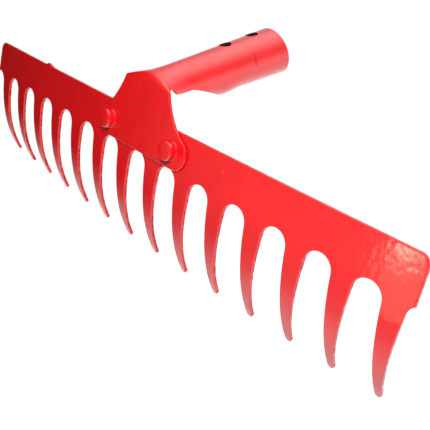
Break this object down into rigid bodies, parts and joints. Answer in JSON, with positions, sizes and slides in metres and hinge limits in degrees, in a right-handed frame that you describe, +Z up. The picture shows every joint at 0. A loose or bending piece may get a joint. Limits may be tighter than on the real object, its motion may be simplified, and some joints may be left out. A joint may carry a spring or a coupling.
{
  "type": "rake head",
  "caption": "Pressed-steel garden rake head: a bowed plate with a row of swept-back teeth, riveted to a bracket that rolls up into a tapered handle socket",
  "frame": {"origin": "on the tooth blade's back face, midway between the two rivets and level with them", "axes": "+X runs along the blade, +Y points behind it towards the handle, +Z is up, away from the tooth tips"},
  "size_m": [0.3617, 0.1007, 0.133],
  "materials": {
    "blade_paint": "gloss red paint on steel",
    "bracket_paint": "gloss red paint on steel",
    "rivet_left_paint": "gloss red paint on steel",
    "rivet_right_paint": "gloss red paint on steel"
  },
  "bodies": {
    "root": {"tooth_blade": "blade_paint", "socket_bracket": "bracket_paint", "rivet_left": "rivet_left_paint", "rivet_right": "rivet_right_paint"}
  },
  "joints": []
}
